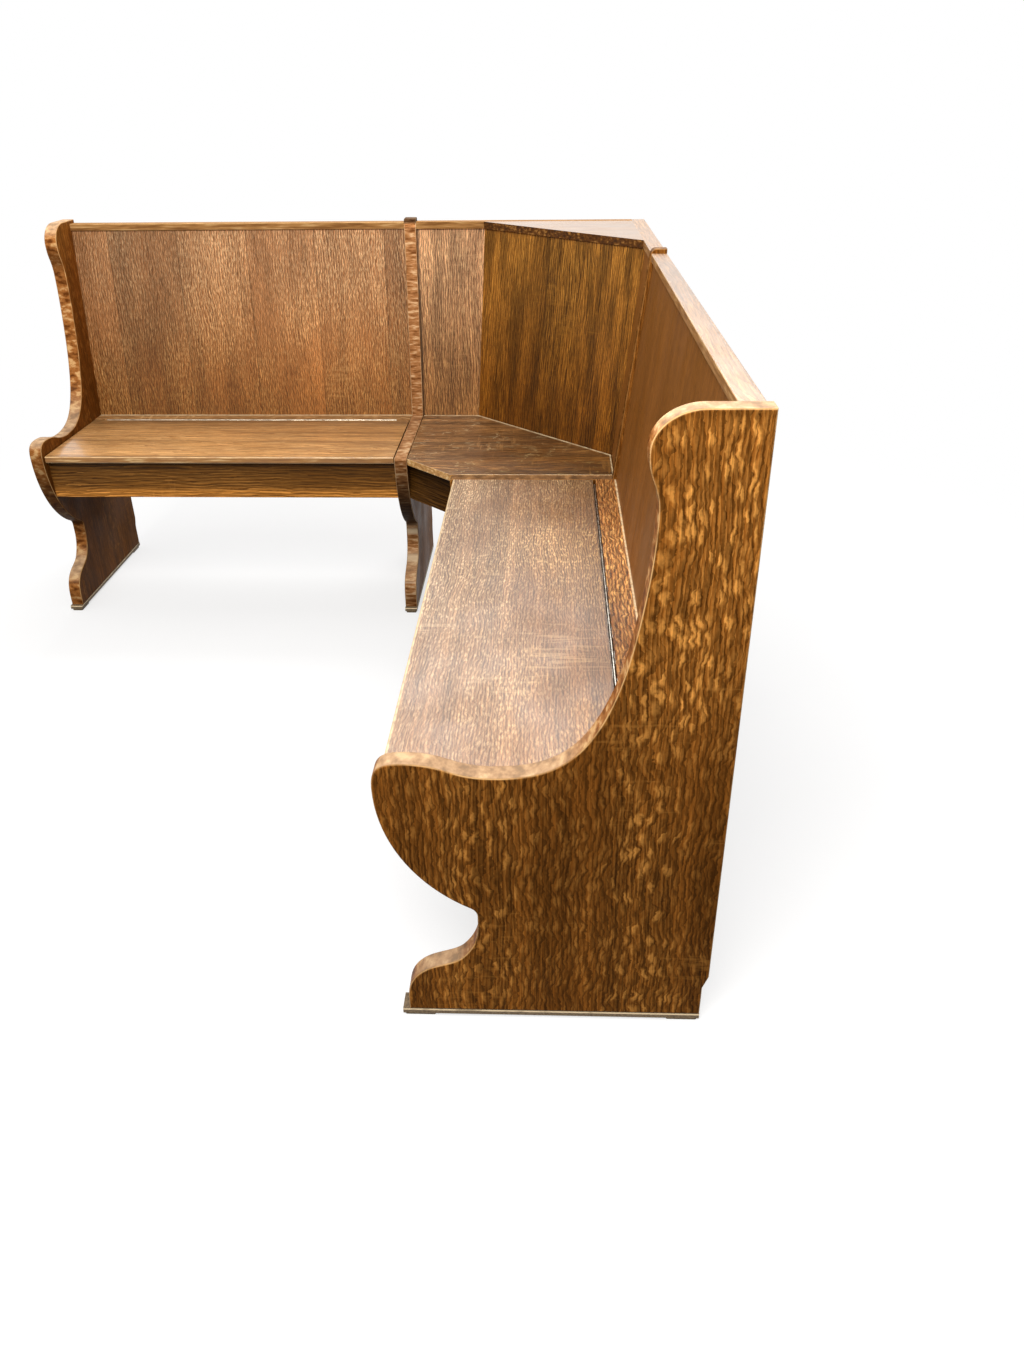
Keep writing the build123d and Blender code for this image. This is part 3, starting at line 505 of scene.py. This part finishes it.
        # Painted highlights and shade in stripes up the dividers' feet: a level under 1 darkens, a level over 1
        # mixes in painted sheen
        if highlight_bands:
            end, stops = highlight_bands
            beyond = self.remap(self.across, end, end + HIGHLIGHT_BAND_FADE)
            level = self.mix(beyond, self.profile(self.along, stops), WHITE)
            colour = self.shade(colour, self.math("MINIMUM", level, 1.0))
            colour = self.mix(self.math("SUBTRACT", level, 1.0, True), colour, linear(SHEEN_AND_WEAR))
        return colour

    def border(self, colour, facing, sawn, light):
        """Edges beside the broad faces, and light arrises between the two: painted highlights with some wear.
        """
        colour = self.mix(self.remap(facing, ALL_EDGE, ALL_FACE), sawn, colour)
        # Painted highlight with some wear along the rounded arris
        arris = self.times(self.remap(facing, 0.25, 0.6), self.remap(facing, 0.75, 0.98, 1.0, 0.0))
        patchy = self.remap(self.noise(self.plain, ARRIS_PATCH, 3.0), 0.35, 0.6, 0.25, 0.9)
        return self.mix(self.times(arris, patchy), colour, light)


def oak(name, across, along, tones, rays, fleck, relief, sway=0.004, pitch=115.0, line=0.5, ribbon=0.7,
        columns=(), fade=None, streak=0.12, scuffs=0.22, scratches=0.0, leaves=(), breadth=None, glow=None,
        length=None, rims=(), face=None, edge=None, edge_grain=BOARD_EDGE, top_sheen=0.0, highlight_bands=None, coat=0.0,
        coat_rough=0.15, rough=0.42, specular=0.2):
    """Stained, varnished oak for one kind of board.

    tones, leaves, breadth, length, glow and rims are tables as above; breadth, length and glow carry painted
    light and shade, and rims pale lines that are painted highlights with some wear. rays are flecks to the
    metre across and along the grain, fleck their strength, relief the painted light and shade on their two
    sides and sway how far they bend.
    columns are places across where they widen, and fade thins them towards an end. pitch is growth lines to the
    metre, line their darkness and ribbon their share of the light figure. streak, scuffs and scratches are
    strengths. face is the broad faces' normal, where the board shows sawn edges: edge holds their colours,
    edge_grain their noise, polish how much painted sheen, with some wear, they get where they look up, and
    bands a place across and the painted highlights and shade up the edges before it."""
    s = Oak(name, across, along, leaves)
    dense = s.flecks(rays, sway, columns)
    shadow, gold = s.figure(rays, dense, pitch, ribbon, fade)
    colour = s.stain(tones, s.times(shadow, line), s.times(gold, fleck), relief, streak)
    colour = s.wear(colour, linear(tones[2]), scuffs, scratches)
    colour = s.spread(colour, leaves, breadth, glow)
    colour = s.pale_lines(colour, rims)
    if face:
        facing = s.math("ABSOLUTE", s.dot(s.normal, face))
        colour = s.border(colour, facing, s.sawn(edge, edge_grain, top_sheen, highlight_bands), linear(edge[2]))
    # Painted light and shade along the grain
    if length:
        colour = s.shade(colour, s.profile(s.along, length))
    if face and coat:
        coat = s.remap(facing, ALL_EDGE, ALL_FACE, 0.0, coat)
    shine = s.remap(s.noise(s.plain, GLOSS, 4.0), 0.3, 0.7, rough - GLOSSIER, rough + DULLER)
    height = s.plus(s.times(s.fibre, 0.6), s.times(s.ray, 0.3))
    s.put(s.surface.inputs["Specular IOR Level"], specular)
    return s.finish(colour, shine, bump=0.2, height=height, coat=coat, coat_rough=coat_rough)


def metal(name, tone, rough, grime_and_shade=0.0):
    """Scratched steel with a little tarnish. The knuckles' flanks are darkened, less on the leaves: dirt with
    painted shade from the gap beside them.
    """
    s = Shader(name)
    fine = s.noise(s.spot, METAL_SCRATCH, 3.0)
    tarnish = s.noise(s.spot, TARNISH, 3.0)
    colour = s.mix(s.remap(tarnish, 0.4, 0.75), linear(tone), linear([c * 0.6 for c in tone]))
    # Painted shade with dirt on the knuckles' flanks
    flank = s.remap(s.dot(s.normal, Z), 0.84, 0.97, grime_and_shade, 0.0)
    on_knuckle = s.remap(s.dot(s.spot, Z), LEAF_TOP - LEAF_BLEND, LEAF_TOP, 0.3, 1.0)
    colour = s.mix(s.times(flank, on_knuckle), colour, linear(GRIME_AND_SHADE))
    s.put(s.surface.inputs["Metallic"], 1.0)
    shine = s.remap(fine, 0.2, 0.8, rough - GLOSSIER, rough + DULLER)
    return s.finish(colour, shine, bump=0.1, height=fine, coat=0.0, coat_rough=0.1)


def matt(name, tones, rough, arris_wear_and_highlight=False):
    """Plain matt strip with a fine speckle and, if asked, a pale patchy upper arris as on the soles: wear with
    a painted highlight.
    """
    s = Shader(name)
    speckle = s.noise(s.spot, SPECKLE, 3.0)
    low, high = (linear(tone) for tone in tones)
    colour = s.mix(s.remap(speckle, 0.3, 0.7), low, high)
    # Wear with a painted highlight along the soles' upper arris
    if arris_wear_and_highlight:
        patchy = s.remap(s.noise(s.spot, SOLE_PATCH, 3.0), 0.3, 0.5, 0.4, 1.0)
        level = s.math("ABSOLUTE", s.dot(s.normal, Z))
        near_top = s.remap(s.dot(s.spot, Z), SOLE_ARRIS_FROM, SOLE_ARRIS_FULL)
        arris = s.times(s.times(near_top, s.remap(level, 0.2, 0.5, 1.0, 0.0)), patchy)
        colour = s.mix(arris, colour, linear(SOLE_ARRIS_WEAR_AND_HIGHLIGHT))
    return s.finish(colour, rough, bump=0.2, height=speckle, coat=0.0, coat_rough=0.3)


# What boards of one kind share
UPRIGHT = dict(along=Z, tones=PANEL, specular=0.02)
END_PANEL = dict(UPRIGHT, length=PANEL_PAINTED_LIGHT, edge=PANEL_EDGE, edge_grain=MOTTLED_EDGE, top_sheen=0.5)
DIVIDER = dict(
    UPRIGHT, rays=(105.0, 38.0), fleck=0.5, relief=0.15, sway=0.025, pitch=150.0, line=0.4, ribbon=0.4,
    edge_grain=RIPPLED_EDGE, top_sheen=0.1,
)
CAP_BOARD = dict(tones=CAP, rays=(160.0, 8.0), relief=0.15, pitch=90.0, face=Z)
APRON_BOARD = dict(across=Z, tones=APRON, rays=(180.0, 8.0), fleck=0.8, relief=0.4, line=0.7)
PLAIN_TIMBER = dict(
    across=Z, tones=TIMBER, rays=(120.0, 6.0), fleck=0.15, relief=0.1, pitch=60.0, line=0.2, rough=0.65,
)

BOARDS = {
    "panel_x": dict(
        END_PANEL, across=Y, face=X, rays=(105.0, 38.0), fleck=0.35, relief=0.12, sway=0.025, pitch=150.0,
        line=0.4, ribbon=0.4, columns=(0.55, 0.80),
    ),
    "panel_y": dict(
        END_PANEL, across=X, face=Y, rays=(140.0, 34.0), fleck=1.0, relief=0.4, sway=0.035, pitch=170.0,
        line=0.5, ribbon=0.22, columns=(0.468, 0.714),
    ),
    "divider_x": dict(
        DIVIDER, across=Y, face=X, length=LEFT_DIVIDER_PAINTED_LIGHT, edge=LEFT_DIVIDER_EDGE,
        highlight_bands=(LEFT_HIGHLIGHTS_END, FOOT_HIGHLIGHTS_AND_SHADE),
    ),
    "divider_y": dict(
        DIVIDER, across=X, face=Y, length=PANEL_PAINTED_LIGHT, edge=RIGHT_DIVIDER_EDGE,
        highlight_bands=(RIGHT_HIGHLIGHTS_END, FOOT_HIGHLIGHTS_AND_SHADE),
    ),
    "left_back": dict(
        across=X, along=Z, tones=LEFT_BACK, rays=(220.0, 70.0), fleck=0.9, relief=0.32, sway=0.008,
        pitch=150.0, line=0.65, ribbon=0.5, leaves=LEFT_LEAVES, glow=BACK_PAINTED_TINT, length=BACK_PAINTED_SHADE,
    ),
    "right_back": dict(
        across=Y, along=Z, tones=RIGHT_BACK, rays=(140.0, 12.0), fleck=0.25, relief=0.08, pitch=90.0,
        line=0.15, streak=0.06, leaves=RIGHT_LEAVES, specular=0.1,
    ),
    "diagonal_back": dict(
        across=SLANT, along=Z, tones=DIAGONAL_BACK, rays=(240.0, 14.0), fleck=0.9, relief=0.5, pitch=120.0,
        line=0.8, ribbon=0.5, streak=0.4, leaves=DIAGONAL_LEAVES, glow=CORNER_PAINTED_TINT, length=BACK_PAINTED_SHADE,
        specular=0.12,
    ),
    "corner_back": dict(
        across=X, along=Z, tones=CORNER_BACK, rays=(230.0, 34.0), fleck=0.9, relief=0.42, pitch=155.0,
        line=0.68, ribbon=0.5, streak=0.3, breadth=CORNER_BACK_PAINTED_SHADOW, glow=CORNER_PAINTED_TINT, length=BACK_PAINTED_SHADE,
    ),
    "left_seat": dict(
        across=Y, along=X, tones=LEFT_SEAT, rays=(180.0, 12.0), fleck=0.75, relief=0.3, pitch=90.0, line=0.7,
        streak=0.28, breadth=LEFT_SEAT_PAINTED_SHADOW, length=LEFT_SEAT_PAINTED_SHADE, face=Z, edge=SEAT_EDGE, coat=0.6,
        rough=0.4, specular=0.5,
    ),
    "right_seat": dict(
        across=X, along=Y, tones=RIGHT_SEAT, rays=(220.0, 62.0), fleck=0.95, relief=0.24, sway=0.03,
        pitch=190.0, line=0.85, ribbon=0.4, fade=RIGHT_SEAT_FADE, breadth=RIGHT_SEAT_BOARDS_AND_SHADE,
        glow=RIGHT_SEAT_PAINTED_TINT, length=RIGHT_SEAT_PAINTED_LIGHT, rims=RIGHT_SEAT_RIMS, face=Z, edge=SEAT_EDGE,
        coat=0.3, coat_rough=0.3, specular=0.4,
    ),
    "corner_seat": dict(
        across=Y, along=X, tones=CORNER_SEAT, rays=(170.0, 18.0), fleck=1.0, relief=0.5, line=0.9, ribbon=0.5,
        streak=0.4, scuffs=0.6, scratches=0.4, glow=CORNER_SEAT_PAINTED_TINT, rims=CORNER_SEAT_RIMS, face=Z,
        edge=CORNER_SEAT_EDGE_PAINTED_LIGHT, coat=0.4, specular=0.5,
    ),
    "left_strip": dict(
        across=Y, along=X, tones=LEFT_STRIP, rays=(110.0, 40.0), fleck=0.6, relief=0.3, sway=0.01, ribbon=0.4,
        scuffs=0.6, rims=LEFT_STRIP_RIMS,
    ),
    "right_strip": dict(
        across=X, along=Y, tones=RIGHT_STRIP, rays=(150.0, 32.0), fleck=1.0, relief=0.5, sway=0.05,
        pitch=150.0, line=0.8, ribbon=0.35, scuffs=0.6, breadth=RIGHT_STRIP_PAINTED_SHEEN, rims=RIGHT_STRIP_RIMS,
    ),
    "left_cap": dict(CAP_BOARD, across=Y, along=X, fleck=0.4, edge=CAP_EDGE, rough=0.7, specular=0.1),
    "right_cap": dict(
        CAP_BOARD, across=X, along=Y, fleck=0.5, line=0.7, edge=CAP_EDGE, coat=0.5, coat_rough=0.25,
        rough=0.4, specular=0.5,
    ),
    "corner_cap": dict(
        CAP_BOARD, across=Y, along=X, fleck=0.5, line=0.6, edge=CORNER_CAP_EDGE, coat=0.9, coat_rough=0.2,
        rough=0.4, specular=0.15,
    ),
    "left_apron": dict(APRON_BOARD, along=X, breadth=APRON_PAINTED_SHADE, specular=0.1),
    "right_apron": dict(APRON_BOARD, along=Y, breadth=APRON_PAINTED_SHADE, specular=0.1),
    "corner_apron": dict(APRON_BOARD, along=SLANT, breadth=CORNER_APRON_PAINTED_SHADE, specular=0.02),
    "left_timber": dict(PLAIN_TIMBER, along=X),
    "right_timber": dict(PLAIN_TIMBER, along=Y),
}

MATERIALS = {name: oak(name, **board) for name, board in BOARDS.items()}
MATERIALS["left_hinge_steel"] = metal("left_hinge_steel", LEFT_HINGE, rough=0.3, grime_and_shade=0.1)
MATERIALS["right_hinge_steel"] = metal("right_hinge_steel", RIGHT_HINGE, rough=0.3, grime_and_shade=0.95)
MATERIALS["zinc_steel"] = metal("zinc_steel", ZINC, rough=0.4)
MATERIALS["sole"] = matt("sole", SOLE, rough=0.6, arris_wear_and_highlight=True)
MATERIALS["pad"] = matt("pad", PAD, rough=0.7)


def look(node):
    """Which material a CAD node wears."""
    side = "right" if "right_" in node else "left"
    if node.endswith("end_panel"):
        return "panel_x" if side == "left" else "panel_y"
    if node.endswith("divider"):
        return "divider_x" if side == "left" else "divider_y"
    if node.endswith(("hinge_fixed_leaf", "hinge_lid_leaf", "hinge_pin")):
        return side + "_hinge_steel"
    if "screws" in node or node in ("corner_bolts", "corner_nuts"):
        return "zinc_steel"
    if node == "sole_strips":
        return "sole"
    if node == "foot_pads":
        return "pad"
    if "batten" in node or "cleat" in node or "bearers" in node or "bottom" in node:
        return side + "_timber"
    if node.startswith("diagonal_back"):
        return "diagonal_back"
    if node == "corner_left_back":
        return "corner_back"
    if "back" in node:
        return side + "_back"
    if node.endswith("hinge_strip"):
        return side + "_strip"
    if node == "corner_top_board":
        return "corner_cap"
    if "cap_rail" in node:
        return side + "_cap"
    if node.endswith("apron"):
        return "corner_apron" if node.startswith("corner") else side + "_apron"
    return "corner_seat" if node == "corner_seat" else side + "_seat"


for node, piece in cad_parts.items():
    piece.data.materials.clear()
    piece.data.materials.append(MATERIALS[look(node)])


def floor_material():
    """White to the eye and in mirrors, greyer in the light that it throws back, running out to pure white."""
    s = Shader("floor")
    spread = s.stretch(s.spot, (1.0, 1.0, 0.0))
    distance = s.node("ShaderNodeVectorMath", {0: spread}, operation="LENGTH").outputs["Value"]
    path = s.node("ShaderNodeLightPath", {}).outputs
    reflected = s.plus(path["Is Glossy Ray"], path["Is Transmission Ray"])
    seen = s.math("ADD", path["Is Camera Ray"], reflected, True)
    grain = s.noise(s.spot, FLOOR_GRAIN)
    tone = s.times(s.remap(grain, 0.3, 0.7, 0.93, 0.95), s.remap(seen, 0.0, 1.0, 0.3, 1.0))
    s.put(s.surface.inputs["Base Color"], s.grey(tone))
    s.put(s.surface.inputs["Roughness"], 0.9)
    s.put(s.surface.inputs["Specular IOR Level"], 0.1)
    glow = s.node("ShaderNodeEmission", {"Color": WHITE, "Strength": seen})
    share = s.remap(distance, FLOOR_FADE_FROM, FLOOR_FADE_FULL, 0.6, 1.0)
    blend = s.node("ShaderNodeMixShader", {0: share, 1: s.surface.outputs[0], 2: glow.outputs[0]})
    s.put(s.tree.nodes["Material Output"].inputs["Surface"], blend.outputs[0])
    return s.material


bpy.ops.mesh.primitive_circle_add(
    vertices=FLOOR_SIDES, radius=FLOOR_RADIUS, fill_type="NGON", location=(0, 0, 0)
)
floor = bpy.context.object
floor.name = "studio_floor"
floor.data.materials.append(floor_material())


def softbox(name, place, target, size, power, tone=(1.0, 1.0, 1.0)):
    """A rectangular area light that looks at a target."""
    lamp = bpy.data.lights.new(name, "AREA")
    lamp.shape = "RECTANGLE"
    lamp.size, lamp.size_y = size
    lamp.energy = power
    lamp.color = tone
    holder = bpy.data.objects.new(name, lamp)
    bpy.context.scene.collection.objects.link(holder)
    holder.location = place
    holder.rotation_euler = (Vector(target) - Vector(place)).to_track_quat("-Z", "Y").to_euler()


def white_world():
    """White where it is seen or mirrored, and elsewhere a dome of light that is brighter overhead."""
    world = bpy.data.worlds.new("studio")
    world.use_nodes = True
    sky = Nodes(world.node_tree)
    path = sky.node("ShaderNodeLightPath", {}).outputs
    seen = path["Is Camera Ray"]
    for kind in ("Is Glossy Ray", "Is Transmission Ray"):
        seen = sky.math("MAXIMUM", seen, path[kind])
    where = sky.node("ShaderNodeTexCoord", {}).outputs["Generated"]
    height = sky.node("ShaderNodeSeparateXYZ", {0: where}).outputs["Z"]
    dome = sky.remap(height, 0.0, 0.9, 0.12, 0.75, "LINEAR")
    background = sky.tree.nodes["Background"]
    sky.put(background.inputs["Strength"], sky.remap(seen, 0.0, 1.0, dome, 1.0, "LINEAR"))
    sky.put(background.inputs["Color"], WHITE)
    return world


def photo_camera():
    """The photograph's camera, turned by its yaw, pitch and roll."""
    ahead = Vector((math.sin(YAW) * math.cos(PITCH), math.cos(YAW) * math.cos(PITCH), -math.sin(PITCH)))
    level_right = Vector((math.cos(YAW), -math.sin(YAW), 0.0))
    upright = level_right.cross(ahead)
    right = level_right * math.cos(ROLL) + upright * math.sin(ROLL)
    up = upright * math.cos(ROLL) - level_right * math.sin(ROLL)
    lens = bpy.data.cameras.new("camera")
    lens.sensor_width = SENSOR_MM
    lens.lens = FOCAL_PIXELS * SENSOR_MM / PHOTO_HEIGHT_PIXELS
    camera = bpy.data.objects.new("camera", lens)
    bpy.context.scene.collection.objects.link(camera)
    turn = Matrix((right, up, -ahead)).transposed()
    camera.matrix_world = Matrix.Translation(CAMERA_PLACE) @ turn.to_4x4()
    return camera


softbox("rear", place=(0.3, 2.6, 3.0), target=(0.35, -0.2, 0.4), size=(3.0, 1.6), power=70.0)
softbox("front", place=(0.0, -2.7, 3.3), target=(0.1, 0.2, 0.6), size=(2.6, 1.8), power=150.0,
        tone=(1.0, 0.98, 0.95))
bpy.context.scene.world = white_world()
bpy.context.scene.camera = photo_camera()
bpy.context.scene.view_settings.view_transform = "Standard"
